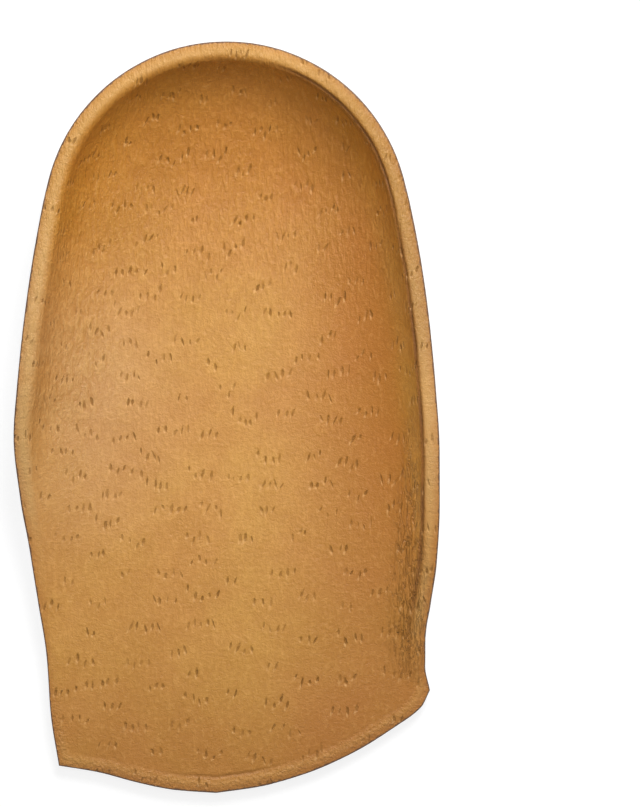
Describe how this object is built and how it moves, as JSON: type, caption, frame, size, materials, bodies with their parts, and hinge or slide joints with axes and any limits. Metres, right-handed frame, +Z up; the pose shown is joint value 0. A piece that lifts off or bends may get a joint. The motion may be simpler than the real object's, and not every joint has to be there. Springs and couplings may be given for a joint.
{
  "type": "orthotic insole",
  "caption": "Three-quarter orthotic insole: a moulded white shell with a deep heel cup, an arch flange and a flat base, covered with thin tan pigskin.",
  "frame": {"origin": "centre of the bounding box in plan, on the flat base", "axes": "+Y towards the heel, +X towards the inner side of the foot, +Z up out of the cup"},
  "size_m": [0.0746, 0.132, 0.0155],
  "materials": {
    "moulded_white": "smooth off-white moulding with a soft sheen",
    "leather": "tan pigskin with grouped pores, satin, with a dark raw cut edge"
  },
  "bodies": {
    "root": {"shell": "moulded_white", "leather_cover": "leather"}
  },
  "joints": []
}
